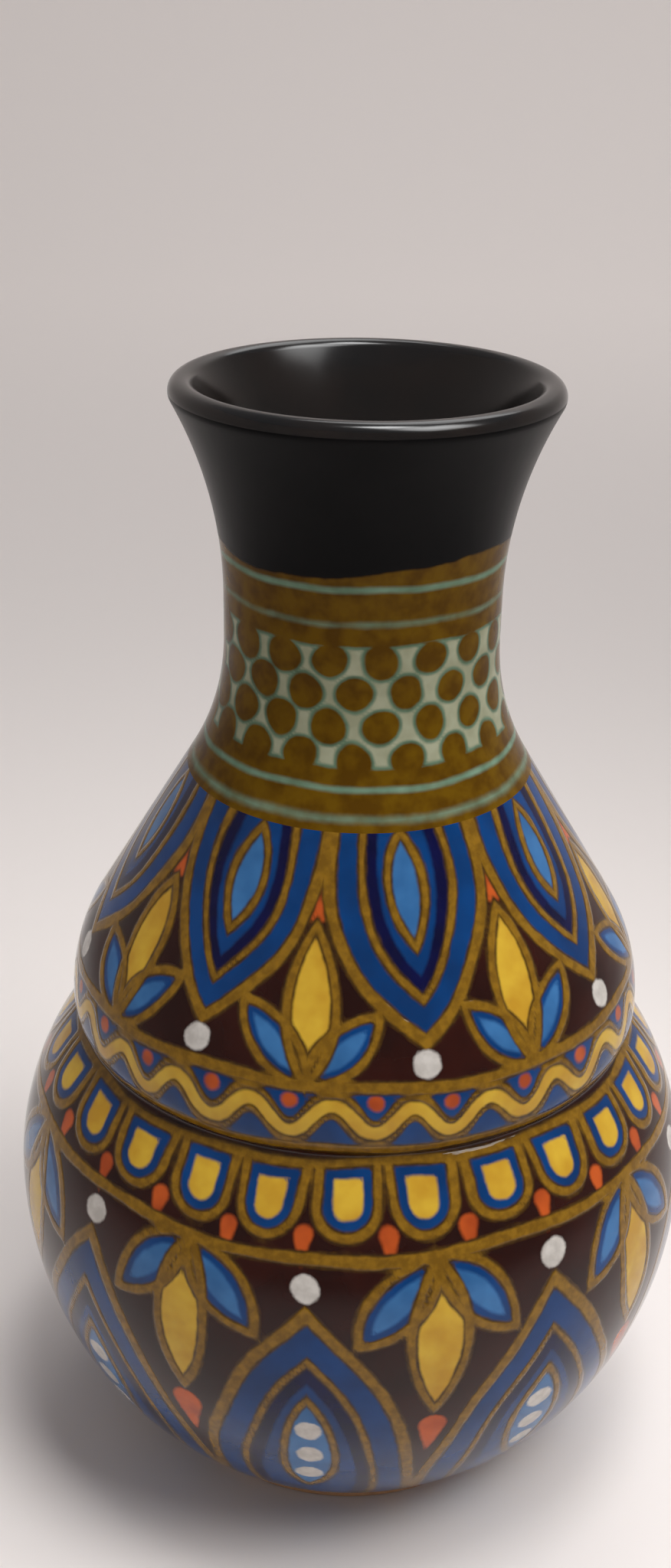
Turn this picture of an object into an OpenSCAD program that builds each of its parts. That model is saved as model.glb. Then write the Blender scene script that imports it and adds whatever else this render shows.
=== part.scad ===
// Ceramic vase: two bulbs with a groove between them, a drawn-in neck and a flared mouth with a round lip.
// It is turned in three clay sections that are luted together with slip, closed by a base disc, raised on a
// foot ring, lined with black glaze and coated outside with bands of coloured glaze.
// Everything is turned about the Z axis, and Z = 0 is the surface that the vase stands on.
// Outlines are drawn as [radius, height]. A depth is measured inwards from the finished outer surface.

/* [Wall] */
// Thickness of the fired clay
wall = 3.2; // [2.4:0.1:4.5]
// Thickness of each coat of glaze
glaze = 0.35; // [0.2:0.05:0.6]

/* [Foot] */
// Diameter of the foot ring
foot_d = 66; // [54:1:78]
// Height of the foot ring, which lifts the base off the table
foot_h = 2; // [1.2:0.1:4]
// Width of the foot ring's tread
foot_w = 5; // [3:0.5:8]
// Rounding of the tread's two edges
foot_round = 0.6; // [0.2:0.1:1]
// Thickness of the base disc
base_t = 5; // [3:0.5:8]

/* [Lower bulb] */
// Diameter at the widest line
lower_d = 112; // [94:1:130]
// Radius of the outline below the widest line
lower_under_r = 61.5; // [52:0.5:72]
// Radius of the outline above the widest line
lower_over_r = 44; // [36:0.5:54]

/* [Waist] */
// How far the groove lies in from the widest line of the upper bulb
groove_depth = 1.15; // [0.8:0.05:2.5]
// Radius of the groove's bottom
groove_r = 0.8; // [0.4:0.1:1.6]
// Radius of the upper bulb's rolled lower edge
roll_r = 6; // [5:0.1:8]

/* [Upper bulb] */
// Diameter at the widest line
upper_d = 92; // [78:1:104]
// Radius of the outline above the widest line
upper_over_r = 26.5; // [18:0.5:36]
// Slope of the shoulder, measured from upright
shoulder_angle = 31; // [24:0.5:40]

/* [Neck and mouth] */
// Radius of the hollow curve between shoulder and neck
shoulder_r = 39; // [28:0.5:50]
// Diameter of the neck at its narrowest
neck_d = 41.8; // [34:0.2:50]
// Length of the straight stretch of the neck
neck_len = 6.6; // [4:0.1:14]
// Radius of the flare above the neck
flare_r = 62.5; // [50:0.5:90]
// Outer diameter of the lip
mouth_d = 57; // [52:0.2:70]
// Height of the ring of slip between neck and shoulder
neck_slip_h = 1.2; // [0.6:0.1:2]

/* [Neck bands] */
// Height of the black glaze's lower edge above the foot of the neck's straight stretch
black_edge = 16.4; // [13:0.1:20]
// Olive stripe under the black glaze
olive_1 = 1.95; // [1:0.05:4]
// Bold mint line
mint_1 = 0.95; // [0.4:0.05:2]
// Olive stripe between the two upper mint lines
olive_2 = 4.45; // [2:0.05:7]
// Fine mint line
mint_2 = 0.5; // [0.3:0.05:1.5]
// Olive stripe above the dotted band
olive_3 = 3.05; // [1:0.05:5]
// Pale band that carries the dots
net_h = 17.7; // [12:0.1:20]
// Olive stripe under the dotted band
olive_4 = 2.5; // [1:0.05:5]
// Upper of the two mint lines on the shoulder
mint_3 = 0.85; // [0.4:0.05:2]
// Olive stripe between the shoulder's mint lines
olive_5 = 3.1; // [1:0.05:5]
// Lower of the two mint lines on the shoulder
mint_4 = 0.7; // [0.3:0.05:1.5]
// Olive stripe that ends the bands
olive_6 = 1.25; // [0.5:0.05:3]

/* [Hidden] */
$fn = 96;
// Largest turn of an outline from one point to the next
arc_step = 4;

clay_colour = "#c8a27c";
black_colour = "#0d0d0e";
olive_colour = "#66480f";
mint_colour = "#7fae97";
pale_colour = "#b9c2ab";
blue_colour = "#0b519a";
brown_colour = "#33110b";

// Depths of the four surfaces from the outer glaze to the lining
clay_top = glaze;
clay_end = glaze + wall;
lining_end = clay_end + glaze;
lip_r = lining_end / 2;

foot_r = foot_d / 2;
lower_r = lower_d / 2;
upper_r = upper_d / 2;
neck_r = neck_d / 2;
mouth_r = mouth_d / 2;

// Lower bulb: both arcs have their centres on the level of the widest line
under_x = lower_r - lower_under_r;
over_x = lower_r - lower_over_r;
lower_z = foot_h + sqrt(pow(lower_under_r, 2) - pow(foot_r - under_x, 2));
under_angle = asin((lower_z - foot_h) / (lower_under_r - lining_end));
floor_z = foot_h + base_t;

// Groove: a hollow arc that touches the lower bulb below it and the rolled edge above it
groove_x = upper_r - groove_depth + groove_r;
groove_z = lower_z + sqrt(pow(lower_over_r + groove_r, 2) - pow(groove_x - over_x, 2));
roll_x = upper_r - roll_r;
upper_z = groove_z + sqrt(pow(roll_r + groove_r, 2) - pow(groove_x - roll_x, 2));
over_angle = atan2(groove_z - lower_z, groove_x - over_x);
roll_angle = atan2(groove_z - upper_z, groove_x - roll_x);

// Shoulder: a straight slope that touches the upper bulb's arc and the hollow curve to the neck
bulb_x = upper_r - upper_over_r;
hollow_x = neck_r + shoulder_r;
slope = direction(shoulder_angle);
slope_low = [bulb_x, upper_z] + upper_over_r * slope;
slope_top_x = hollow_x - shoulder_r * slope.x;
slope_top = [slope_top_x, slope_low.y + (slope_low.x - slope_top_x) * slope.x / slope.y];
neck_z = slope_top.y + shoulder_r * slope.y;

// Flare and lip: the lip is a full round on the end of the wall, touching the flare
flare_x = neck_r + flare_r;
flare_z = neck_z + neck_len;
lip_x = mouth_r - lip_r;
lip_z = flare_z + sqrt(pow(flare_r + lip_r, 2) - pow(flare_x - lip_x, 2));
lip_angle = atan2(lip_z - flare_z, flare_x - lip_x);
height = lip_z + lip_r;

// Edges of the coloured bands, from the black glaze down
black_z = neck_z + black_edge;
band_h = [olive_1, mint_1, olive_2, mint_2, olive_3, net_h, olive_4, mint_3, olive_5, mint_4, olive_6];
olive_bands = [0, 2, 4, 6, 8, 10];
mint_bands = [1, 3, 7, 9];
net_band = 5;
function band_edge(i) = i == 0 ? black_z : band_edge(i - 1) - band_h[i - 1];
band_low = band_edge(len(band_h));

function direction(angle) = [cos(angle), sin(angle)];

// Points along an arc, from one angle to another
function arc(centre, radius, from, to) =
    let (steps = max(2, ceil(abs(to - from) / arc_step)))
    [for (i = [0 : steps]) centre + radius * direction(from + (to - from) * i / steps)];

// A list of points without its first, for arcs that go on from the one before
function onward(points) = [for (i = [1 : len(points) - 1]) points[i]];

function backward(points) = [for (i = [len(points) - 1 : -1 : 0]) points[i]];

// Outlines at a depth, from the top down: the depth is taken from a bulging radius and added to a hollow one
function lip_line(depth, to) = arc([lip_x, lip_z], lip_r - depth, 90, to);
function flare_line(depth) = arc([flare_x, flare_z], flare_r + depth, 180 - lip_angle, 180);
function upper_line(depth) = concat(
    arc([hollow_x, neck_z], shoulder_r + depth, 180, 180 + shoulder_angle),
    arc([bulb_x, upper_z], upper_over_r - depth, shoulder_angle, 0),
    onward(arc([roll_x, upper_z], roll_r - depth, 0, roll_angle))
);
function groove_line(depth) = arc([groove_x, groove_z], groove_r + depth, 180 + roll_angle, 180 + over_angle);
function lower_line(depth) = concat(
    arc([over_x, lower_z], lower_over_r - depth, over_angle, 0),
    onward(arc([under_x, lower_z], lower_under_r - depth, 0, -under_angle))
);

// Strip of wall or glaze between two lists of points that run side by side
module strip(outer, inner) {
    polygon(concat(outer, backward(inner)));
}

// Everything between two heights
module slab(low, high) {
    translate([0, low]) square([lower_d, high - low]);
}

// One of the coloured bands of the neck's outer coat
module coat_ring(i) {
    rotate_extrude() intersection() {
        strip(concat(flare_line(0), upper_line(0)), concat(flare_line(glaze), upper_line(glaze)));
        slab(band_edge(i + 1), band_edge(i));
    }
}

// What lies inside the clay of the lower bulb between two heights
module lower_filling(low, high) {
    intersection() {
        polygon(concat([[0, lower_z + lower_over_r]], lower_line(clay_end), [[0, lower_z - lower_under_r]]));
        slab(low, high);
    }
}

module foot_ring() {
    color(clay_colour) rotate_extrude() translate([foot_r - foot_w, 0]) {
        translate([0, foot_round]) square([foot_w, foot_h - foot_round]);
        translate([foot_round, 0]) square([foot_w - 2 * foot_round, foot_round]);
        for (x = [foot_round, foot_w - foot_round]) translate([x, foot_round]) circle(foot_round);
    }
}

module base_disc() {
    color(clay_colour) rotate_extrude() lower_filling(foot_h, floor_z);
}

module lower_bulb() {
    color(clay_colour) rotate_extrude() intersection() {
        strip(lower_line(clay_top), lower_line(clay_end));
        slab(foot_h, upper_z);
    }
}

module waist_slip() {
    color(clay_colour) rotate_extrude() strip(groove_line(clay_top), groove_line(clay_end));
}

module upper_bulb() {
    color(clay_colour) rotate_extrude() strip(upper_line(clay_top), upper_line(clay_end));
}

module neck_slip() {
    color(clay_colour) rotate_extrude() translate([neck_r - clay_end, neck_z]) square([wall, neck_slip_h]);
}

module neck() {
    low_z = neck_z + neck_slip_h;
    color(clay_colour) rotate_extrude() polygon(concat(
        [[neck_r - clay_end, low_z], [neck_r - clay_top, low_z]],
        backward(flare_line(clay_top)),
        onward(arc([lip_x, lip_z], lip_r - glaze, -lip_angle, 180 - lip_angle)),
        onward(flare_line(clay_end))
    ));
}

module base_glaze() {
    color(black_colour) translate([0, 0, foot_h - glaze]) cylinder(r = foot_r - foot_w, h = glaze);
}

module lower_bulb_glaze() {
    color(blue_colour) rotate_extrude() intersection() {
        strip(
            concat(groove_line(0), onward(lower_line(0))),
            concat(groove_line(glaze), onward(lower_line(glaze)))
        );
        slab(foot_h, upper_z);
    }
}

module upper_bulb_glaze() {
    color(brown_colour) rotate_extrude() intersection() {
        strip(upper_line(0), upper_line(glaze));
        slab(foot_h, band_low);
    }
}

module olive_band_glaze() {
    color(olive_colour) for (i = olive_bands) coat_ring(i);
}

module mint_line_glaze() {
    color(mint_colour) for (i = mint_bands) coat_ring(i);
}

module net_band_glaze() {
    color(pale_colour) coat_ring(net_band);
}

module rim_glaze() {
    color(black_colour) rotate_extrude() intersection() {
        strip(
            concat(lip_line(0, -lip_angle), onward(flare_line(0)), upper_line(0)),
            concat(lip_line(glaze, -lip_angle), onward(flare_line(glaze)), upper_line(glaze))
        );
        slab(black_z, height);
    }
}

// The lining's outline: down the inside of the lip, the neck, both bulbs and the wall to the floor
function lining_line(lip_depth, depth) = concat(
    lip_line(lip_depth, 180 - lip_angle), onward(flare_line(depth)), upper_line(depth),
    onward(groove_line(depth)), onward(lower_line(depth))
);

module inner_glaze() {
    color(black_colour) rotate_extrude() {
        intersection() {
            strip(lining_line(glaze, clay_end), lining_line(0, lining_end));
            slab(floor_z, height);
        }
        lower_filling(floor_z, floor_z + glaze);
    }
}

foot_ring();
base_disc();
lower_bulb();
waist_slip();
upper_bulb();
neck_slip();
neck();
base_glaze();
lower_bulb_glaze();
upper_bulb_glaze();
olive_band_glaze();
mint_line_glaze();
net_band_glaze();
rim_glaze();
inner_glaze();
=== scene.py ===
"""Looks of the ceramic vase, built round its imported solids.

The vase is turned clay under coats of coloured glaze, so every piece here is an outline carried round the Z
axis. Sizes are in millimetres until a mesh is made. Z = 0 is the table, and the angle round the axis is 0 on
the -Y side, which the photograph shows, and grows towards +X.
"""

import logging
import math
from dataclasses import dataclass
from enum import Enum

import bpy
import numpy as np
from mathutils import Matrix, Vector


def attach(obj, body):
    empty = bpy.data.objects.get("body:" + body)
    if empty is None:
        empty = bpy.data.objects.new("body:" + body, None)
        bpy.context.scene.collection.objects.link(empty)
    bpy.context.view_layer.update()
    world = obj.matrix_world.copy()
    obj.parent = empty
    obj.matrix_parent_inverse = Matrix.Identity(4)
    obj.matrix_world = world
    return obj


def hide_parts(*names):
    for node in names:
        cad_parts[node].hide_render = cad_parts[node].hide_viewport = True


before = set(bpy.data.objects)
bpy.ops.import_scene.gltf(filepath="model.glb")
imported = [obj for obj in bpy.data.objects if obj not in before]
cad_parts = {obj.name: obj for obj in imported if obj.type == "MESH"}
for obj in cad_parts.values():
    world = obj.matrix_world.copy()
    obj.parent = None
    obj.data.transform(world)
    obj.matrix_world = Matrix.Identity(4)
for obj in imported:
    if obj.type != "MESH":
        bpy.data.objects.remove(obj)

LOG = logging.getLogger("vase")
MM = 0.001
CLAY_NODES = ("foot_ring", "base_disc", "lower_bulb", "waist_slip", "upper_bulb", "neck_slip", "neck")
# Largest turn of an outline from one row of points to the next
MAX_TURN = math.radians(7.0)
# Two arcs of an outline that end closer than this touch, with no straight stretch between them
TOUCHING = 0.001
# A point of a line that lies closer than this to the height of one of its ends gives way to the end
END_MARGIN = 0.02
# An edge that turns more than this between two faces stays crisp
CRISP_EDGE = math.radians(42.0)
# A painting's fields where the coat isn't painted: far outside every shape
UNPAINTED = -9.0
# Share of its repeat that a lappet fills at its base
LAPPET_FILL = 0.97
# A noise's detail and its middle value, and the stretch of it over which a brushed colour drifts
NOISE_DETAIL = 2.5
NOISE_MIDDLE = 0.5
DRIFT_START = 0.36
DRIFT_END = 0.64
# Length after which a wave texture of scale 1 repeats
WAVE_REPEAT = 0.314
# Sockets of a Mix node by number, because its names are the same for numbers and for colours
FACTOR = 0
NUMBER_A, NUMBER_B, NUMBER_OUT = 2, 3, 0
COLOUR_A, COLOUR_B, COLOUR_OUT = 6, 7, 2

Place = tuple[float, float, float]


class Paint(Enum):
    """Fields of the painting, kept on a mesh as attributes: mm inside a shape's edge, negative outside."""

    BLUE = "paint_blue"
    LIGHT_BLUE = "paint_light_blue"
    NAVY = "paint_navy"
    YELLOW = "paint_yellow"
    ORANGE = "paint_orange"
    WHITE = "paint_white"
    LINE = "paint_line"
    MINT = "paint_mint"
    PALE = "paint_pale"
    BLACK = "paint_black"


Fields = dict[Paint, np.ndarray]


@dataclass(frozen=True)
class Arc:
    """A stretch of the vase's outline that is part of a circle, with its angles in radians."""

    x: float
    z: float
    radius: float
    start: float
    end: float
    hollow: bool = False

    def points(self, depth: float, step: float) -> np.ndarray:
        """Points of the arc: its centre plus its radius, changed by the depth, times (cos, sin) of the angle.

        Args:
            depth: distance below the outer surface.
            step: greatest spacing of the points.

        Returns:
            Rows of (radius, height).
        """
        radius = self.radius + depth if self.hollow else self.radius - depth
        turn = abs(self.end - self.start)
        count = math.ceil(max(turn / MAX_TURN, turn * radius / step))
        angle = np.linspace(self.start, self.end, count + 1)
        return np.column_stack([self.x + radius * np.cos(angle), self.z + radius * np.sin(angle)])


@dataclass
class VaseOutline:
    """The outline of the vase, worked out from the same sizes as the solids."""

    wall: float = 3.2
    glaze: float = 0.35
    foot_d: float = 66.0
    foot_h: float = 2.0
    base_t: float = 5.0
    lower_d: float = 112.0
    lower_under_r: float = 61.5
    lower_over_r: float = 44.0
    groove_depth: float = 1.15
    groove_r: float = 0.8
    roll_r: float = 6.0
    upper_d: float = 92.0
    upper_over_r: float = 26.5
    shoulder_angle: float = math.radians(31.0)
    shoulder_r: float = 39.0
    neck_d: float = 41.8
    neck_len: float = 6.6
    flare_r: float = 62.5
    mouth_d: float = 57.0
    black_edge: float = 16.4
    band_h: tuple[float, ...] = (1.95, 0.95, 4.45, 0.5, 3.05, 17.7, 2.5, 0.85, 3.1, 0.7, 1.25)

    def __post_init__(self) -> None:
        """Works out where the arcs touch, from the foot up, as the solids do."""
        upper_r = self.upper_d / 2
        neck_r = self.neck_d / 2
        self.clay_end = self.glaze + self.wall
        self.lining_end = self.clay_end + self.glaze
        self.floor_z = self.foot_h + self.base_t
        under_x = self.lower_d / 2 - self.lower_under_r
        over_x = self.lower_d / 2 - self.lower_over_r
        lower_z = self.foot_h + math.sqrt(self.lower_under_r**2 - (self.foot_d / 2 - under_x) ** 2)
        groove_x = upper_r - self.groove_depth + self.groove_r
        groove_z = lower_z + math.sqrt((self.lower_over_r + self.groove_r) ** 2 - (groove_x - over_x) ** 2)
        roll_x = upper_r - self.roll_r
        upper_z = groove_z + math.sqrt((self.roll_r + self.groove_r) ** 2 - (groove_x - roll_x) ** 2)
        over_angle = math.atan2(groove_z - lower_z, groove_x - over_x)
        roll_angle = math.atan2(groove_z - upper_z, groove_x - roll_x)
        under_angle = math.asin((lower_z - self.foot_h) / (self.lower_under_r - self.lining_end))
        bulb_x = upper_r - self.upper_over_r
        hollow_x = neck_r + self.shoulder_r
        cos, sin = math.cos(self.shoulder_angle), math.sin(self.shoulder_angle)
        slope_run = bulb_x + self.upper_over_r * cos - (hollow_x - self.shoulder_r * cos)
        neck_z = upper_z + self.upper_over_r * sin + slope_run * cos / sin + self.shoulder_r * sin
        flare_x = neck_r + self.flare_r
        flare_z = neck_z + self.neck_len
        lip_r = self.lining_end / 2
        lip_x = self.mouth_d / 2 - lip_r
        lip_z = flare_z + math.sqrt((self.flare_r + lip_r) ** 2 - (flare_x - lip_x) ** 2)
        lip_angle = math.atan2(lip_z - flare_z, flare_x - lip_x)
        self.lip = Arc(lip_x, lip_z, lip_r, math.pi - lip_angle, -lip_angle)
        self.arcs = (
            Arc(flare_x, flare_z, self.flare_r, math.pi - lip_angle, math.pi, hollow=True),
            Arc(hollow_x, neck_z, self.shoulder_r, math.pi, math.pi + self.shoulder_angle, hollow=True),
            Arc(bulb_x, upper_z, self.upper_over_r, self.shoulder_angle, 0.0),
            Arc(roll_x, upper_z, self.roll_r, 0.0, roll_angle),
            Arc(groove_x, groove_z, self.groove_r, math.pi + roll_angle, math.pi + over_angle, hollow=True),
            Arc(over_x, lower_z, self.lower_over_r, over_angle, 0.0),
            Arc(under_x, lower_z, self.lower_under_r, 0.0, -under_angle),
        )
        self.black_z = neck_z + self.black_edge
        self.band_edges = self.black_z - np.concatenate([[0.0], np.cumsum(self.band_h)])
        self.waist_z = upper_z + self.roll_r * math.sin(roll_angle)

    def line(self, depth: float, high: float, low: float, step: float) -> np.ndarray:
        """The wall's line at a depth, from the flare down: arcs and straight stretches, cut at two heights.

        Args:
            depth: distance below the outer surface.
            high: height of the line's first point.
            low: height of its last point.
            step: greatest spacing of the points.

        Returns:
            Rows of (radius, height), going down.
        """
        runs = [arc.points(depth, step) for arc in self.arcs]
        joined = [runs[0]]
        for run in runs[1:]:
            gap = float(np.linalg.norm(run[0] - joined[-1][-1]))
            parts = math.ceil(gap / step) if gap > TOUCHING else 0
            share = np.linspace(0.0, 1.0, parts + 1)[1:, None]
            joined.append(joined[-1][-1] + share * (run[0] - joined[-1][-1]))
            joined.append(run[1:])
        points = np.concatenate(joined)
        ends = np.array([high, low])
        end_radius = np.interp(-ends, -points[:, 1], points[:, 0])
        height = points[:, 1]
        inside = points[(height < high - END_MARGIN) & (height > low + END_MARGIN)]
        return np.concatenate([[[end_radius[0], high]], inside, [[end_radius[1], low]]])


@dataclass(frozen=True)
class SlowWave:
    """A slow wave by which handwork strays: waves round the axis, climb per mm, start and height."""

    rounds: int
    climb: float = 0.0
    start: float = 0.0
    height: float = 1.0


# How far a painting hand strays sideways and downwards, for a sway of 1
SIDE_STRAY = (SlowWave(5, 0.11, 0.4), SlowWave(13, -0.23, height=0.6))
DOWN_STRAY = (SlowWave(4, -0.13, 1.1), SlowWave(11, 0.19, height=0.6))
# How the lower edge of the black glaze wanders round the neck
BLACK_EDGE_STRAY = (SlowWave(2, start=-0.17, height=1.25), SlowWave(9, height=0.12))
# How the neck's dots differ in size, for a spread of 1
DOT_STRAY = (SlowWave(1, start=0.2), SlowWave(7, 1.0, height=0.5))


@dataclass(frozen=True)
class Canvas:
    """The outer face of a coat as a sheet to draw on: rows down the surface and columns round the axis."""

    angle: np.ndarray
    along: np.ndarray
    radius: np.ndarray
    height: np.ndarray

    @classmethod
    def of_line(cls, line: np.ndarray, columns: int) -> "Canvas":
        """Lays a canvas over a line turned about the axis.

        Args:
            line: rows of (radius, height).
            columns: points round the axis.

        Returns:
            The canvas, with the distance down the surface counted from the line's first point.
        """
        steps = np.linalg.norm(np.diff(line, axis=0), axis=1)
        along = np.concatenate([[0.0], np.cumsum(steps)])
        angle = 2 * math.pi * np.arange(columns) / columns
        sheet = [np.broadcast_to(part[:, None], (len(line), columns)) for part in (along, *line.T)]
        return cls(np.broadcast_to(angle, sheet[0].shape), *sheet)

    def stray(self, waves: tuple[SlowWave, ...]) -> np.ndarray:
        """The sum of slow waves: height times the sine of rounds x angle + climb x distance down + start.

        Args:
            waves: the waves to add up.

        Returns:
            Their sum at each point.
        """
        swings = [
            wave.height * np.sin(wave.rounds * self.angle + wave.climb * self.along + wave.start)
            for wave in waves
        ]
        return sum(swings)

    def by_hand(self, sway: float) -> "Canvas":
        """The same sheet drawn by hand: places wander by a few slow waves, so no two repeats are alike.

        Args:
            sway: how far a place wanders.

        Returns:
            The swayed canvas.
        """
        angle = self.angle + sway * self.stray(SIDE_STRAY) / self.radius
        return Canvas(angle, self.along + sway * self.stray(DOWN_STRAY), self.radius, self.height)

    def across(self, count: int, turn: float) -> np.ndarray:
        """Distance sideways, with its sign, from the nearest of some upright axes evenly round the vase.

        Args:
            count: number of axes.
            turn: angle of the first one.

        Returns:
            Signed distances along the surface.
        """
        pitch = 2 * math.pi / count
        return (np.mod(self.angle - turn + pitch / 2, pitch) - pitch / 2) * self.radius

    def lappet(self, count: int, turn: float, base: float, tip: float, power: float) -> np.ndarray:
        """Pointed lappets side by side: half a repeat less its share to a power from base to tip.

        Args:
            count: lappets round the vase.
            turn: angle of the first one's axis.
            base: distance along the surface where the lappets are widest.
            tip: distance along the surface of their points.
            power: how full their sides are.

        Returns:
            Distance inside the edge, to first order.
        """
        share = np.maximum((self.along - base) / (tip - base), 0.0)
        half = LAPPET_FILL * math.pi / count * self.radius * (1.0 - share**power)
        slope = np.gradient(half, axis=0) / np.gradient(self.along, axis=0)
        return (half - np.abs(self.across(count, turn))) / np.hypot(1.0, slope)

    def wave(self, count: int, level: float, swing: float) -> np.ndarray:
        """Distance down from a wave that runs round the vase, measured square to it.

        Args:
            count: waves round the vase.
            level: middle of the wave along the surface.
            swing: height of its crests.

        Returns:
            Signed distances, positive below the wave.
        """
        slope = swing * count * np.cos(count * self.angle) / self.radius
        return (self.along - level - swing * np.sin(count * self.angle)) / np.hypot(1.0, slope)


def pearl(across: np.ndarray, down: np.ndarray, radius: float | np.ndarray) -> np.ndarray:
    """A round dot: its radius less the distance from its middle."""
    return radius - np.hypot(across, down)


def leaf(across: np.ndarray, down: np.ndarray, half_width: float, half_length: float) -> np.ndarray:
    """A leaf with two points, where two circles overlap: radius less distance from the farther centre."""
    circle = (half_length**2 + half_width**2) / (2 * half_width)
    return circle - np.hypot(np.abs(across) + circle - half_width, down)


def tongue(across: np.ndarray, down: np.ndarray, radius: float) -> np.ndarray:
    """A tongue with a round end below: its radius less the distance from a line that ends at the middle."""
    return radius - np.hypot(across, np.maximum(down, 0.0))


def bud(across: np.ndarray, down: np.ndarray, radius: float, length: float) -> np.ndarray:
    """A drop, round at its middle and drawn to a point above: a circle and the cone that touches it.

    Args:
        across: distance sideways from the drop's axis.
        down: distance below its middle.
        radius: radius of the round end.
        length: distance from the middle to the point.

    Returns:
        Distance inside the edge.
    """
    lean = radius / length
    upright = math.sqrt(1.0 - lean**2)
    side = np.abs(across)
    on_cone = upright * -down - lean * side > 0.0
    return np.where(on_cone, radius - (upright * side - lean * down), radius - np.hypot(across, down))


def spray(
    across: np.ndarray, out: np.ndarray, lean: float, length: float, half_width: float
) -> np.ndarray:
    """A pair of leaves that leave one point and lean to both sides, each a leaf along its own turned axes.

    Args:
        across: distance sideways from the spray's axis.
        out: distance from the common point along the axis.
        lean: angle of the leaves from the axis.
        length: length of a leaf.
        half_width: half of its width.

    Returns:
        Distance inside the edge.
    """
    side = np.abs(across)
    cos, sin = math.cos(lean), math.sin(lean)
    return leaf(side * cos - out * sin, side * sin + out * cos - length / 2, half_width, length / 2)


def union(*shapes: np.ndarray) -> np.ndarray:
    """The shapes together: the greatest of their distances inside an edge."""
    return np.maximum.reduce(shapes)


def outline(half_width: float, *shapes: np.ndarray) -> np.ndarray:
    """Lines along the edges of shapes: half the line's width less the distance from the nearest edge."""
    return half_width - np.minimum.reduce([np.abs(shape) for shape in shapes])


def linear(hex_colour: str) -> tuple[float, float, float, float]:
    """Turns an sRGB hex colour to linear light.

    Args:
        hex_colour: the colour, with its leading sign.

    Returns:
        Red, green, blue and alpha.
    """
    parts = np.array([int(hex_colour[i : i + 2], 16) / 255.0 for i in (1, 3, 5)])
    flat = np.where(parts <= 0.04045, parts / 12.92, ((parts + 0.055) / 1.055) ** 2.4)
    return (*flat.tolist(), 1.0)


def add_node(
    tree: bpy.types.NodeTree, kind: str, inputs: dict[str | int, object] | None = None, **settings: object
) -> bpy.types.Node:
    """Adds a node with its settings, and links or sets its inputs.

    Args:
        tree: node tree that takes the node.
        kind: the node's type.
        inputs: a socket to link from or a value to set, by input name or number.
        settings: properties of the node.

    Returns:
        The new node.
    """
    node = tree.nodes.new(kind)
    for name, value in settings.items():
        setattr(node, name, value)
    for key, value in (inputs or {}).items():
        if isinstance(value, bpy.types.NodeSocket):
            tree.links.new(value, node.inputs[key])
        else:
            node.inputs[key].default_value = value
    return node


def bare_material(name: str) -> bpy.types.Material:
    """Starts a material with an empty node tree.

    Args:
        name: the material's name.

    Returns:
        The new material.
    """
    material = bpy.data.materials.new(name)
    material.use_nodes = True
    material.node_tree.nodes.clear()
    return material


@dataclass(frozen=True)
class Tone:
    """A brushed colour: it drifts between two sRGB colours in patches of a size in mm."""

    colour: str
    shade: str
    patch_mm: float

    def brushed(self, tree: bpy.types.NodeTree, patches: bpy.types.NodeSocket) -> bpy.types.NodeSocket:
        """Mixes the two colours by the middle stretch of a noise.

        Args:
            tree: node tree of the material.
            patches: noise of the tone's patch size.

        Returns:
            The mixed colour.
        """
        stretch = {"Value": patches, "From Min": DRIFT_START, "From Max": DRIFT_END}
        drift = add_node(tree, "ShaderNodeMapRange", stretch).outputs["Result"]
        mixed = {FACTOR: drift, COLOUR_A: linear(self.colour), COLOUR_B: linear(self.shade)}
        return add_node(tree, "ShaderNodeMix", mixed, data_type="RGBA").outputs[COLOUR_OUT]


@dataclass(frozen=True)
class PaintLayer:
    """One colour of a painting, laid where its field passes a level, with a soft and uneven edge."""

    paint: Paint
    tone: Tone
    level: float = 0.0
    soft: float = 0.22
    wobble: float = 0.5
    wobble_mm: float = 2.2
    roughness: float = 0.05

    def cover(self, tree: bpy.types.NodeTree, grain: bpy.types.NodeSocket) -> bpy.types.NodeSocket:
        """How far the layer covers a place: a smooth step of its field, shifted by noise, about its level.

        Args:
            tree: node tree of the material.
            grain: noise of the wobble's size.

        Returns:
            The share that is covered.
        """
        field = add_node(tree, "ShaderNodeAttribute", attribute_name=self.paint.value).outputs["Fac"]
        about_zero = {0: grain, 1: self.wobble, 2: -NOISE_MIDDLE * self.wobble}
        shift = add_node(tree, "ShaderNodeMath", about_zero, operation="MULTIPLY_ADD").outputs[0]
        edge = add_node(tree, "ShaderNodeMath", {0: field, 1: shift}, operation="ADD").outputs[0]
        span = {"Value": edge, "From Min": self.level - self.soft, "From Max": self.level + self.soft}
        step = add_node(tree, "ShaderNodeMapRange", span, interpolation_type="SMOOTHSTEP")
        return step.outputs["Result"]


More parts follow.
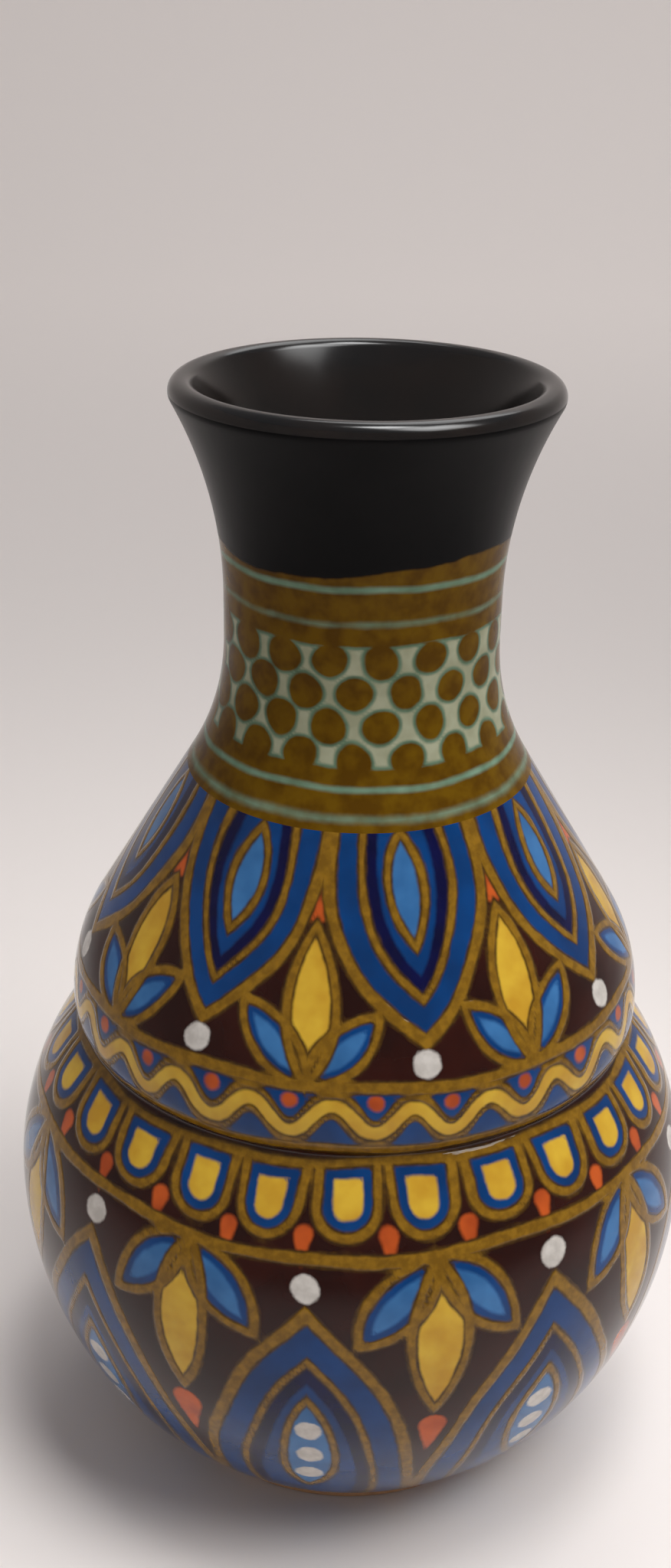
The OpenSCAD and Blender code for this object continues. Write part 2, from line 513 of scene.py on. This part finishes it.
@dataclass(frozen=True)
class PaintedGlaze:
    """Glazed earthenware: colours brushed on by hand under a glaze, which pools a little and shines."""

    name: str
    ground: Tone
    layers: tuple[PaintLayer, ...] = ()
    roughness: float = 0.05
    specular: float = 0.5
    ripple_mm: float = 11.0
    ripple_depth: float = 0.05
    raised: Paint | None = None
    raised_depth: float = 0.07

    def material(self) -> bpy.types.Material:
        """Builds the material: the ground, each layer over it where it covers, and ripples for bump.

        Returns:
            The new material.
        """
        material = bare_material(self.name)
        tree = material.node_tree
        place = add_node(tree, "ShaderNodeTexCoord").outputs["Object"]
        sizes = {self.ripple_mm, self.ground.patch_mm}
        sizes |= {size for layer in self.layers for size in (layer.tone.patch_mm, layer.wobble_mm)}
        noise = {}
        for size in sorted(sizes):
            grain = {"Vector": place, "Scale": 1.0 / (size * MM), "Detail": NOISE_DETAIL}
            noise[size] = add_node(tree, "ShaderNodeTexNoise", grain).outputs["Fac"]
        colour = self.ground.brushed(tree, noise[self.ground.patch_mm])
        roughness: bpy.types.NodeSocket | float = self.roughness
        gloss_differs = any(layer.roughness != self.roughness for layer in self.layers)
        raised = None
        for layer in self.layers:
            tone = layer.tone.brushed(tree, noise[layer.tone.patch_mm])
            cover = layer.cover(tree, noise[layer.wobble_mm])
            over = {FACTOR: cover, COLOUR_A: colour, COLOUR_B: tone}
            colour = add_node(tree, "ShaderNodeMix", over, data_type="RGBA").outputs[COLOUR_OUT]
            if gloss_differs:
                gloss = {FACTOR: cover, NUMBER_A: roughness, NUMBER_B: layer.roughness}
                roughness = add_node(tree, "ShaderNodeMix", gloss).outputs[NUMBER_OUT]
            if layer.paint is self.raised:
                raised = cover
        ripple = {"Height": noise[self.ripple_mm], "Distance": self.ripple_depth * MM}
        normal = add_node(tree, "ShaderNodeBump", ripple).outputs["Normal"]
        if raised is not None:
            lift = {"Height": raised, "Distance": self.raised_depth * MM, "Normal": normal}
            normal = add_node(tree, "ShaderNodeBump", lift).outputs["Normal"]
        surface = {
            "Base Color": colour,
            "Roughness": roughness,
            "Normal": normal,
            "Specular IOR Level": self.specular,
        }
        shader = add_node(tree, "ShaderNodeBsdfPrincipled", surface)
        add_node(tree, "ShaderNodeOutputMaterial", {"Surface": shader.outputs["BSDF"]})
        return material


@dataclass(frozen=True)
class FiredClay:
    """Unglazed earthenware, turned and fired: matt, buff, with sand grains and faint turning lines."""

    name: str = "fired_earthenware"
    tone: Tone = Tone("#c29a72", "#a67c56", 0.9)
    sand_detail: float = 4.0
    turning_mm: float = 0.8
    turning_depth: float = 0.04
    turning_sway: float = 0.4
    roughness: float = 0.85

    def material(self) -> bpy.types.Material:
        """Builds the material: two buffs by a noise of sand size, with fine rings for bump.

        Returns:
            The new material.
        """
        material = bare_material(self.name)
        tree = material.node_tree
        place = add_node(tree, "ShaderNodeTexCoord").outputs["Object"]
        grain = {"Vector": place, "Scale": 1.0 / (self.tone.patch_mm * MM), "Detail": self.sand_detail}
        sand = add_node(tree, "ShaderNodeTexNoise", grain).outputs["Fac"]
        mixed = {FACTOR: sand, COLOUR_A: linear(self.tone.colour), COLOUR_B: linear(self.tone.shade)}
        colour = add_node(tree, "ShaderNodeMix", mixed, data_type="RGBA").outputs[COLOUR_OUT]
        rings = {
            "Vector": place,
            "Scale": WAVE_REPEAT / (self.turning_mm * MM),
            "Distortion": self.turning_sway,
        }
        lines = add_node(tree, "ShaderNodeTexWave", rings, wave_type="BANDS", bands_direction="Z")
        turned = {"Height": lines.outputs["Fac"], "Distance": self.turning_depth * MM}
        normal = add_node(tree, "ShaderNodeBump", turned).outputs["Normal"]
        surface = {"Base Color": colour, "Roughness": self.roughness, "Normal": normal}
        shader = add_node(tree, "ShaderNodeBsdfPrincipled", surface)
        add_node(tree, "ShaderNodeOutputMaterial", {"Surface": shader.outputs["BSDF"]})
        return material


# Brushed colours of the vase
BLACK = Tone("#060607", "#0b0a0b", 12.0)
LIP_BLACK = Tone("#0a0807", "#140e0b", 9.0)
OLIVE = Tone("#6a4d0a", "#553907", 3.0)
MINT = Tone("#7b9a84", "#66846e", 4.0)
PALE = Tone("#aaac92", "#999b80", 4.0)
PALE_EDGE = Tone("#65806a", "#556e58", 3.0)
BROWN = Tone("#2e0b04", "#200603", 9.0)
BLUE = Tone("#003c78", "#003063", 8.0)
LIGHT_BLUE = Tone("#3b72a8", "#2d6094", 6.0)
NAVY = Tone("#02063c", "#01032c", 5.0)
YELLOW = Tone("#d0a934", "#bc8e26", 6.0)
ORANGE = Tone("#c2571f", "#a44419", 5.0)
WHITE = Tone("#cec9c2", "#b9b3ac", 2.0)
GOLD_LINE = Tone("#8a6516", "#72510f", 1.4)
DARK_LINE = Tone("#4d340b", "#37240a", 1.2)

# Semi-gloss of the banded glazes, and how little light they throw back
BAND_ROUGHNESS = 0.16
NECK_SPECULAR = 0.08
BLACK_LAYER = PaintLayer(Paint.BLACK, BLACK, soft=0.3, wobble=0.6, wobble_mm=3.0, roughness=0.28)

# Earthenware painted by hand under clear glaze: uneven colour, soft edges, raised lines and sharp lights
BULB_GLAZE = PaintedGlaze(
    name="painted_earthenware_under_clear_glaze",
    ground=BROWN,
    layers=(
        PaintLayer(Paint.BLUE, BLUE),
        PaintLayer(Paint.NAVY, NAVY, soft=0.4),
        PaintLayer(Paint.LIGHT_BLUE, LIGHT_BLUE, soft=0.4),
        PaintLayer(Paint.YELLOW, YELLOW, soft=0.35),
        PaintLayer(Paint.ORANGE, ORANGE, soft=0.4),
        PaintLayer(Paint.LINE, DARK_LINE, level=-0.3, soft=0.3),
        PaintLayer(Paint.LINE, GOLD_LINE, level=0.05, soft=0.25, wobble=0.7, wobble_mm=4.0),
        PaintLayer(Paint.WHITE, WHITE, soft=0.3, wobble=0.6, wobble_mm=1.4),
    ),
    specular=0.3,
    raised=Paint.LINE,
)
# Coloured glazes brushed in bands: semi-gloss, with edges that ran together and a darker rim to the pale
NECK_GLAZE = PaintedGlaze(
    name="banded_earthenware_glaze",
    ground=OLIVE,
    layers=(
        PaintLayer(Paint.MINT, MINT, soft=0.42, wobble=0.3, roughness=BAND_ROUGHNESS),
        PaintLayer(Paint.PALE, PALE_EDGE, level=-0.1, soft=0.25, wobble=0.4, roughness=BAND_ROUGHNESS),
        PaintLayer(Paint.PALE, PALE, level=0.35, soft=0.3, wobble=0.4, roughness=BAND_ROUGHNESS),
        BLACK_LAYER,
    ),
    roughness=BAND_ROUGHNESS,
    specular=NECK_SPECULAR,
)
# Satin black glaze: a deep black with broad dim lights, over the olive that shows below its wandering edge
NECK_BLACK_GLAZE = PaintedGlaze(
    name="satin_black_glaze",
    ground=OLIVE,
    layers=(BLACK_LAYER,),
    roughness=BAND_ROUGHNESS,
    specular=NECK_SPECULAR,
)
# Black glaze where it lies thicker, on the lip and inside: a warmer black with clearer lights
LIP_BLACK_GLAZE = PaintedGlaze(name="gloss_black_glaze", ground=LIP_BLACK, roughness=0.18)
# Black glaze of the underside: plain black with a low shine
BASE_GLAZE = PaintedGlaze(name="satin_black_glaze_underside", ground=BLACK, roughness=0.24, specular=0.3)


def turned_grid(profile: np.ndarray, columns: int) -> tuple[np.ndarray, np.ndarray]:
    """Carries a profile round the axis: (r sin a, -r cos a, z) for every profile point and angle a.

    Args:
        profile: rows of (radius, height).
        columns: points round the axis.

    Returns:
        The points, and their numbers in rows along the profile and columns round the axis.
    """
    angle = 2 * math.pi * np.arange(columns) / columns
    radius, height = profile[:, :1], profile[:, 1:]
    shape = (len(profile), columns)
    places = [radius * np.sin(angle), -radius * np.cos(angle), np.broadcast_to(height, shape)]
    points = np.stack(places, axis=-1).reshape(-1, 3)
    return points, np.arange(len(points)).reshape(shape)


def ring_faces(upper: np.ndarray, lower: np.ndarray) -> list[list[int]]:
    """Four-sided faces between rows of points and the rows that follow them, closed round the axis."""
    corners = [upper, lower, np.roll(lower, -1, axis=1), np.roll(upper, -1, axis=1)]
    return np.stack(corners, axis=-1).reshape(-1, 4).tolist()


def fan_faces(middle: int, ring: np.ndarray) -> list[list[int]]:
    """Three-sided faces from a middle point to a ring of points, closed round the axis."""
    return np.stack([np.full(len(ring), middle), ring, np.roll(ring, -1)], axis=-1).tolist()


def turned_mesh(name: str, profile: np.ndarray, columns: int) -> bpy.types.Mesh:
    """Turns a profile about the axis into a closed mesh.

    A profile that starts and ends on the axis gets a single point there, and any other is a closed ring.

    Args:
        name: the mesh's name.
        profile: rows of (radius, height), with the side away from the axis going down.
        columns: points round the axis.

    Returns:
        The closed mesh, with its faces outwards.
    """
    if profile[0, 0] == 0.0:
        points, index = turned_grid(profile[1:-1], columns)
        first, last = len(points), len(points) + 1
        faces = ring_faces(index[:-1], index[1:])
        faces += fan_faces(first, index[0]) + fan_faces(last, index[-1][::-1])
        points = np.concatenate([points, [[0.0, 0.0, profile[0, 1]], [0.0, 0.0, profile[-1, 1]]]])
    else:
        points, index = turned_grid(profile, columns)
        faces = ring_faces(index, np.roll(index, -1, axis=0))
    mesh = bpy.data.meshes.new(name)
    mesh.from_pydata((points * MM).tolist(), [], faces)
    mesh.shade_smooth()
    mesh.set_sharp_from_angle(angle=CRISP_EDGE)
    return mesh


@dataclass
class Coat:
    """A turned coat of the vase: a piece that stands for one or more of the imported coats."""

    vase: VaseOutline
    name: str = ""
    nodes: tuple[str, ...] = ()
    slot: str = ""
    glaze: PaintedGlaze = BULB_GLAZE
    columns: int = 720
    step: float = 0.7
    hidden_step: float = 6.0

    def profile(self) -> tuple[np.ndarray, np.ndarray]:
        """The closed profile to turn, and the part of it, at its start, that the painting covers."""
        raise NotImplementedError

    def fields(self, canvas: Canvas) -> Fields:
        """The painting's fields on the coat's outer face."""
        raise NotImplementedError

    def dress(self, mesh: bpy.types.Mesh) -> None:
        """Gives the mesh its material."""
        mesh.materials.append(self.glaze.material())

    def ring(self, high: float, low: float) -> tuple[np.ndarray, np.ndarray]:
        """The profile of a coat between two heights: its outer line down and its inner line up.

        Args:
            high: height of the coat's upper edge.
            low: height of its lower edge.

        Returns:
            The closed profile, and its outer line.
        """
        outer = self.vase.line(0.0, high, low, self.step)
        inner = self.vase.line(self.vase.glaze, high, low, self.hidden_step)
        return np.concatenate([outer, inner[::-1]]), outer

    def build(self) -> None:
        """Makes the piece, with its painting and its finish, and hangs it on the frame."""
        profile, face = self.profile()
        mesh = turned_mesh(self.name, profile, self.columns)
        for paint, values in self.fields(Canvas.of_line(face, self.columns)).items():
            stored = np.full(len(mesh.vertices), UNPAINTED, dtype=np.float32)
            stored[: values.size] = values.ravel()
            mesh.attributes.new(paint.value, "FLOAT", "POINT").data.foreach_set("value", stored)
        piece = bpy.data.objects.new(self.name, mesh)
        bpy.context.scene.collection.objects.link(piece)
        self.dress(mesh)
        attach(piece, "root")
        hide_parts(*self.nodes)
        LOG.info("%s: %d faces", self.name, len(mesh.polygons))


@dataclass
class UpperBulbCoat(Coat):
    """The painted coat of the upper bulb: hanging lappets, palmettes between them and a waved border.

    Levels and tips are distances down the surface from the coat's upper edge.
    """

    name: str = "upper_bulb_coat"
    nodes: tuple[str, ...] = ("upper_bulb_glaze",)
    slot: str = "painted_glaze"
    sway: float = 0.35
    lappets: int = 8
    turn: float = math.radians(14.0)
    lappet_tip: float = 30.0
    lappet_power: float = 2.2
    inset: float = 4.6
    shaded: float = 2.4
    vein_level: float = 8.5
    vein_half_width: float = 2.6
    vein_half_length: float = 8.0
    tall_leaf_length: float = 23.0
    tall_leaf_half_width: float = 3.5
    side_leaf_lean: float = math.radians(42.0)
    side_leaf_length: float = 14.5
    side_leaf_half_width: float = 3.1
    side_leaf_rim: float = 1.7
    bud_level: float = 11.0
    bud_r: float = 1.9
    bud_length: float = 5.5
    border_top: float = 36.4
    border_low: float = 46.6
    waves: int = 24
    wave_swing: float = 2.1
    ribbon_half_width: float = 1.4
    ribbon_line_at: float = 1.6
    seed_r: float = 1.2
    seed_below_top: float = 2.4
    pearl_r: float = 2.1
    pearl_above_top: float = 3.4
    lappet_line: float = 0.85
    leaf_line: float = 0.6
    vein_line: float = 0.5
    ribbon_line: float = 0.35

    def profile(self) -> tuple[np.ndarray, np.ndarray]:
        """The coat from the foot of the bands to the waist."""
        return self.ring(float(self.vase.band_edges[-1]), self.vase.waist_z)

    def fields(self, canvas: Canvas) -> Fields:
        """The painting: each field joins the shapes of one colour.

        Args:
            canvas: the coat's outer face.

        Returns:
            The fields.
        """
        sheet = canvas.by_hand(self.sway)
        axis = sheet.across(self.lappets, self.turn)
        between = sheet.across(self.lappets, self.turn + math.pi / self.lappets)
        down = sheet.along
        hanging = sheet.lappet(self.lappets, self.turn, 0.0, self.lappet_tip, self.lappet_power)
        heart = hanging - self.inset
        vein = leaf(axis, down - self.vein_level, self.vein_half_width, self.vein_half_length)
        up = self.border_top - down
        tall_leaf = spray(between, up, 0.0, self.tall_leaf_length, self.tall_leaf_half_width)
        side_leaf = spray(
            between, up, self.side_leaf_lean, self.side_leaf_length, self.side_leaf_half_width
        )
        buds = bud(between, down - self.bud_level, self.bud_r, self.bud_length)
        border = np.minimum(down - self.border_top, self.border_low - down)
        middle = (self.border_top + self.border_low) / 2
        ribbon = np.abs(sheet.wave(self.waves, middle, self.wave_swing))
        crest = sheet.across(self.waves, math.pi / 2 / self.waves)
        seeds = pearl(crest, down - self.border_top - self.seed_below_top, self.seed_r)
        return {
            Paint.BLUE: union(hanging, side_leaf, border),
            Paint.LIGHT_BLUE: union(vein, side_leaf - self.side_leaf_rim),
            Paint.NAVY: np.minimum(heart, self.shaded - heart),
            Paint.YELLOW: union(tall_leaf, self.ribbon_half_width - ribbon),
            Paint.ORANGE: union(buds, seeds),
            Paint.WHITE: pearl(axis, down - self.border_top + self.pearl_above_top, self.pearl_r),
            Paint.LINE: union(
                outline(self.lappet_line, hanging, border),
                outline(self.leaf_line, tall_leaf, side_leaf),
                outline(self.vein_line, heart, vein),
                outline(self.ribbon_line, ribbon - self.ribbon_line_at),
            ),
        }


@dataclass
class LowerBulbCoat(Coat):
    """The painted coat of the lower bulb: a border of tongues, palmettes, and lappets up from the foot.

    Levels and tips are distances down the surface from the waist.
    """

    name: str = "lower_bulb_coat"
    nodes: tuple[str, ...] = ("lower_bulb_glaze",)
    slot: str = "painted_glaze"
    columns: int = 621
    step: float = 0.78
    sway: float = 0.4
    lappets: int = 9
    turn: float = math.radians(-6.0)
    lappet_tip: float = 23.5
    lappet_power: float = 3.2
    inset: float = 5.6
    shaded: float = 2.8
    pod_level: float = 54.0
    pod_half_width: float = 4.2
    pod_half_length: float = 14.0
    pod_pearls: tuple[float, ...] = (47.5, 54.0, 60.5)
    tip_pearl_rise: float = 3.9
    pearl_r: float = 2.2
    border_top: float = 1.7
    border_low: float = 15.2
    tongues: int = 27
    tongue_level: float = 7.6
    tongue_r: float = 4.5
    tongue_rim: float = 2.3
    dart_level: float = 11.6
    dart_r: float = 1.4
    dart_length: float = 5.0
    long_leaf_length: float = 27.0
    long_leaf_half_width: float = 4.2
    side_leaf_lean: float = math.radians(42.0)
    side_leaf_length: float = 18.0
    side_leaf_half_width: float = 3.7
    side_leaf_rim: float = 2.0
    bud_level: float = 46.0
    bud_r: float = 2.3
    bud_length: float = 8.0
    lappet_line: float = 0.9
    leaf_line: float = 0.65
    pod_line: float = 0.5

    def profile(self) -> tuple[np.ndarray, np.ndarray]:
        """The coat from the waist to the foot."""
        return self.ring(self.vase.waist_z, self.vase.foot_h)

    def fields(self, canvas: Canvas) -> Fields:
        """The painting: each field joins the shapes of one colour.

        Args:
            canvas: the coat's outer face.

        Returns:
            The fields.
        """
        sheet = canvas.by_hand(self.sway)
        foot = float(canvas.along.max())
        axis = sheet.across(self.lappets, self.turn)
        between = sheet.across(self.lappets, self.turn + math.pi / self.lappets)
        down = sheet.along
        rising = sheet.lappet(self.lappets, self.turn, foot, self.lappet_tip, self.lappet_power)
        heart = rising - self.inset
        pod = leaf(axis, down - self.pod_level, self.pod_half_width, self.pod_half_length)
        pearls = [pearl(axis, down - level, self.pearl_r) for level in self.pod_pearls]
        pearls.append(pearl(axis, down - self.lappet_tip + self.tip_pearl_rise, self.pearl_r))
        below_groove = down - self.border_top
        tongue_axis = sheet.across(self.tongues, 0.0)
        tongues = np.minimum(tongue(tongue_axis, down - self.tongue_level, self.tongue_r), below_groove)
        dart_axis = sheet.across(self.tongues, math.pi / self.tongues)
        darts = bud(dart_axis, self.dart_level - down, self.dart_r, self.dart_length)
        out = down - self.border_low
        long_leaf = spray(between, out, 0.0, self.long_leaf_length, self.long_leaf_half_width)
        side_leaf = spray(
            between, out, self.side_leaf_lean, self.side_leaf_length, self.side_leaf_half_width
        )
        buds = bud(between, self.bud_level - down, self.bud_r, self.bud_length)
        return {
            Paint.BLUE: union(rising, tongues, side_leaf),
            Paint.LIGHT_BLUE: union(pod, side_leaf - self.side_leaf_rim),
            Paint.NAVY: np.minimum(heart, self.shaded - heart),
            Paint.YELLOW: union(long_leaf, tongues - self.tongue_rim),
            Paint.ORANGE: union(darts, buds),
            Paint.WHITE: union(*pearls),
            Paint.LINE: union(
                outline(self.lappet_line, rising, out),
                outline(self.leaf_line, side_leaf, long_leaf, tongues, below_groove),
                outline(self.pod_line, heart, pod),
            ),
        }


def black_field(canvas: Canvas, vase: VaseOutline) -> np.ndarray:
    """Height above the lower edge of the black glaze, which wanders round the neck in slow waves."""
    return canvas.height - vase.black_z - canvas.stray(BLACK_EDGE_STRAY)


@dataclass
class NeckBands(Coat):
    """The banded coat of the neck: olive with mint lines and a pale band that a net of olive dots covers."""

    name: str = "neck_bands"
    nodes: tuple[str, ...] = ("olive_band_glaze", "mint_line_glaze", "net_band_glaze")
    slot: str = "olive_glaze"
    glaze: PaintedGlaze = NECK_GLAZE
    columns: int = 600
    step: float = 0.4
    sway: float = 0.12
    mint_bands: tuple[int, ...] = (1, 3, 7, 9)
    line_crisp: tuple[float, ...] = (1.0, 0.6, 1.15, 0.55)
    line_thin: float = 0.06
    net_band: int = 5
    dots: int = 18
    dot_r: float = 2.7
    dot_spread: float = 0.3
    dot_rows: int = 4
    row_pitch: float = 4.85
    first_row: float = 2.2
    dot_turn: float = math.radians(-2.0)

    def profile(self) -> tuple[np.ndarray, np.ndarray]:
        """The coat from the black glaze to the upper bulb."""
        return self.ring(self.vase.black_z, float(self.vase.band_edges[-1]))

    def fields(self, canvas: Canvas) -> Fields:
        """The bands: lines by their height, and the pale band less its dots.

        Args:
            canvas: the coat's outer face.

        Returns:
            The fields.
        """
        edges = self.vase.band_edges
        sheet = canvas.by_hand(self.sway)
        height = canvas.height - (sheet.along - canvas.along)
        lines = [
            crisp * np.minimum(edges[band] - height, height - edges[band + 1]) - self.line_thin
            for band, crisp in zip(self.mint_bands, self.line_crisp)
        ]
        net_top = edges[self.net_band]
        net = np.minimum(net_top - height, height - edges[self.net_band + 1])
        half_pitch = math.pi / self.dots
        dab = self.dot_r - self.dot_spread * canvas.stray(DOT_STRAY)
        rows = [
            pearl(
                sheet.across(self.dots, self.dot_turn + half_pitch * ((row + 1) % 2)),
                height - (net_top - self.first_row - self.row_pitch * row),
                dab,
            )
            for row in range(self.dot_rows)
        ]
        return {
            Paint.MINT: union(*lines),
            Paint.PALE: np.minimum(net, -union(*rows)),
            Paint.BLACK: black_field(canvas, self.vase),
        }


@dataclass
class BlackCoat(Coat):
    """The black glaze over the upper neck, the lip and the whole inside, in one run."""

    name: str = "black_coat"
    nodes: tuple[str, ...] = ("rim_glaze", "inner_glaze")
    slot: str = "black_glaze"
    glaze: PaintedGlaze = NECK_BLACK_GLAZE
    lip_glaze: PaintedGlaze = LIP_BLACK_GLAZE
    columns: int = 300
    step: float = 0.8
    inside_step: float = 3.0
    lip_step: float = 0.3
    hidden_step: float = 4.0
    hidden_lip_step: float = 0.6
    parting_step: float = 2.0

    def profile(self) -> tuple[np.ndarray, np.ndarray]:
        """The coat: up from the floor inside, over the lip, down to the black edge, and back under the glaze.

        Returns:
            The closed profile, and its face without the point on the axis.
        """
        vase = self.vase
        top = vase.lip.z + vase.lip.radius
        inside = vase.line(vase.lining_end, top, vase.floor_z + vase.glaze, self.inside_step)[1:]
        lip = vase.lip.points(0.0, self.lip_step)
        outside = vase.line(0.0, top, vase.black_z, self.step)[1:]
        outside_back = vase.line(vase.glaze, top, vase.black_z, self.hidden_step)[1:]
        lip_back = vase.lip.points(vase.glaze, self.hidden_lip_step)
        inside_back = vase.line(vase.clay_end, top, vase.floor_z, self.hidden_step)[1:]
        floor = np.array([[0.0, vase.floor_z + vase.glaze]])
        underside = np.array([[0.0, vase.floor_z]])
        face = np.concatenate([floor, inside[::-1], lip[1:-1], outside])
        back = np.concatenate([outside_back[::-1], lip_back[::-1][1:-1], inside_back, underside])
        return np.concatenate([face, back]), face[1:]

    def fields(self, canvas: Canvas) -> Fields:
        """The black glaze of the neck, above its edge. The glaze of the lip and the inside needs no field."""
        return {Paint.BLACK: black_field(canvas, self.vase)}

    def dress(self, mesh: bpy.types.Mesh) -> None:
        """Gives the neck its satin glaze, and the lip and the inside a glossier one, parted at the lip.

        Args:
            mesh: the coat's mesh.
        """
        super().dress(mesh)
        mesh.materials.append(self.lip_glaze.material())
        vase = self.vase
        flare_top = vase.lip.z
        centres = np.empty(3 * len(mesh.polygons))
        mesh.polygons.foreach_get("center", centres)
        x, y, height = (centres / MM).reshape(-1, 3).T
        middle_line = vase.line(vase.clay_end / 2, flare_top, vase.floor_z, self.parting_step)
        wall = np.interp(-height, -middle_line[:, 1], middle_line[:, 0])
        glossy = (height > flare_top) | (np.hypot(x, y) < wall)
        mesh.polygons.foreach_set("material_index", glossy.astype(np.int32))


@dataclass(frozen=True)
class Lamp:
    """A square soft lamp that looks at a target: lengths in metres, power in watts, beam in degrees."""

    name: str
    place: Place
    size: float
    power: float
    target: Place
    spread: float = 180.0

    def build(self) -> None:
        """Hangs the lamp in the scene, with its -Z axis on the line to the target."""
        data = bpy.data.lights.new(self.name, "AREA")
        data.size = self.size
        data.energy = self.power
        data.spread = math.radians(self.spread)
        lamp = bpy.data.objects.new(self.name, data)
        aim = Vector(self.target) - Vector(self.place)
        turn = aim.to_track_quat("-Z", "Y").to_matrix().to_4x4()
        lamp.matrix_world = Matrix.Translation(self.place) @ turn
        bpy.context.scene.collection.objects.link(lamp)


# A large soft lamp to the right, a narrow one over the board, and one for the board behind the vase
LAMPS = (
    Lamp("key_lamp", (0.4, -0.27, 0.83), size=0.45, power=0.62, target=(0.0, -0.05, 0.05), spread=56.0),
    Lamp("top_lamp", (0.1, -0.12, 0.95), size=0.25, power=0.155, target=(0.02, -0.04, 0.0), spread=40.0),
    Lamp("back_lamp", (0.3, 1.0, 1.5), size=1.0, power=9.0, target=(0.0, 1.2, 0.0)),
)


@dataclass
class Studio:
    """The pale board that the vase stands on, the soft lights and the camera, with lengths in metres."""

    room: str = "#dfe3ea"
    room_strength: float = 0.34
    board: str = "#ece5e1"
    board_roughness: float = 0.8
    board_r: float = 1.6
    board_bend: float = 0.5
    board_top: float = 1.5
    bend_points: int = 13
    board_columns: int = 96
    lens_px: float = 2350.0
    image_px: float = 2048.0
    sensor_mm: float = 36.0
    nearest: float = 0.01
    camera_place: Place = (0.0, -0.25658, 0.2389)
    pitch: float = math.radians(25.27)
    yaw: float = math.radians(-0.81)
    roll: float = math.radians(0.94)

    def set_camera(self) -> None:
        """Sets the camera: its axes come from pitch, yaw and roll, and its lens from the fitted length."""
        ahead = Vector(
            (
                math.sin(self.yaw) * math.cos(self.pitch),
                math.cos(self.yaw) * math.cos(self.pitch),
                -math.sin(self.pitch),
            )
        )
        right = Vector((math.cos(self.yaw), -math.sin(self.yaw), 0.0))
        up = right.cross(ahead)
        across = math.cos(self.roll) * right + math.sin(self.roll) * up
        upward = -math.sin(self.roll) * right + math.cos(self.roll) * up
        data = bpy.data.cameras.new("camera")
        data.sensor_fit = "VERTICAL"
        data.sensor_height = self.sensor_mm
        data.lens = self.sensor_mm * self.lens_px / self.image_px
        data.clip_start = self.nearest
        camera = bpy.data.objects.new("camera", data)
        turn = Matrix((across, upward, -ahead)).transposed().to_4x4()
        camera.matrix_world = Matrix.Translation(self.camera_place) @ turn
        bpy.context.scene.collection.objects.link(camera)
        bpy.context.scene.camera = camera

    def lay_board(self) -> None:
        """Lays the board: a round floor that bends up into a wall far from the vase, a turned profile."""
        angle = np.linspace(0.0, math.pi / 2, self.bend_points)
        bend = np.column_stack([np.sin(angle), 1.0 - np.cos(angle)]) * self.board_bend
        bend += [self.board_r - self.board_bend, 0.0]
        profile = np.concatenate([bend, [[self.board_r, self.board_top]]])
        points, index = turned_grid(profile, self.board_columns)
        faces = fan_faces(len(points), index[0]) + ring_faces(index[:-1], index[1:])
        mesh = bpy.data.meshes.new("board")
        mesh.from_pydata([*points.tolist(), [0.0, 0.0, 0.0]], [], faces)
        mesh.shade_smooth()
        board = bpy.data.objects.new("board", mesh)
        bpy.context.scene.collection.objects.link(board)
        # Matt painted board: pale and a little warm, it takes soft shadows and shows no lights
        material = bpy.data.materials.new("pale_board")
        material.use_nodes = True
        shader = material.node_tree.nodes["Principled BSDF"]
        shader.inputs["Base Color"].default_value = linear(self.board)
        shader.inputs["Roughness"].default_value = self.board_roughness
        mesh.materials.append(material)

    def build(self) -> None:
        """Builds the stage, the lights and the camera."""
        scene = bpy.context.scene
        scene.view_settings.view_transform = "Standard"
        world = bpy.data.worlds.new("room")
        world.use_nodes = True
        light = world.node_tree.nodes["Background"]
        light.inputs["Color"].default_value = linear(self.room)
        light.inputs["Strength"].default_value = self.room_strength
        scene.world = world
        self.lay_board()
        for lamp in LAMPS:
            lamp.build()
        self.set_camera()


def main() -> None:
    """Builds the vase's pieces in order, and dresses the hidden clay."""
    logging.basicConfig(level=logging.INFO)
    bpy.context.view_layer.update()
    vase = VaseOutline()
    for piece in (LowerBulbCoat(vase), UpperBulbCoat(vase), NeckBands(vase), BlackCoat(vase)):
        piece.build()
    clay = FiredClay().material()
    finishes = dict.fromkeys(CLAY_NODES, clay) | {"base_glaze": BASE_GLAZE.material()}
    for name, finish in finishes.items():
        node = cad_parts[name]
        node.data.materials.clear()
        node.data.materials.append(finish)
        LOG.info("%s: packed solid with its own finish", name)
    Studio().build()


if __name__ == "__main__":
    main()
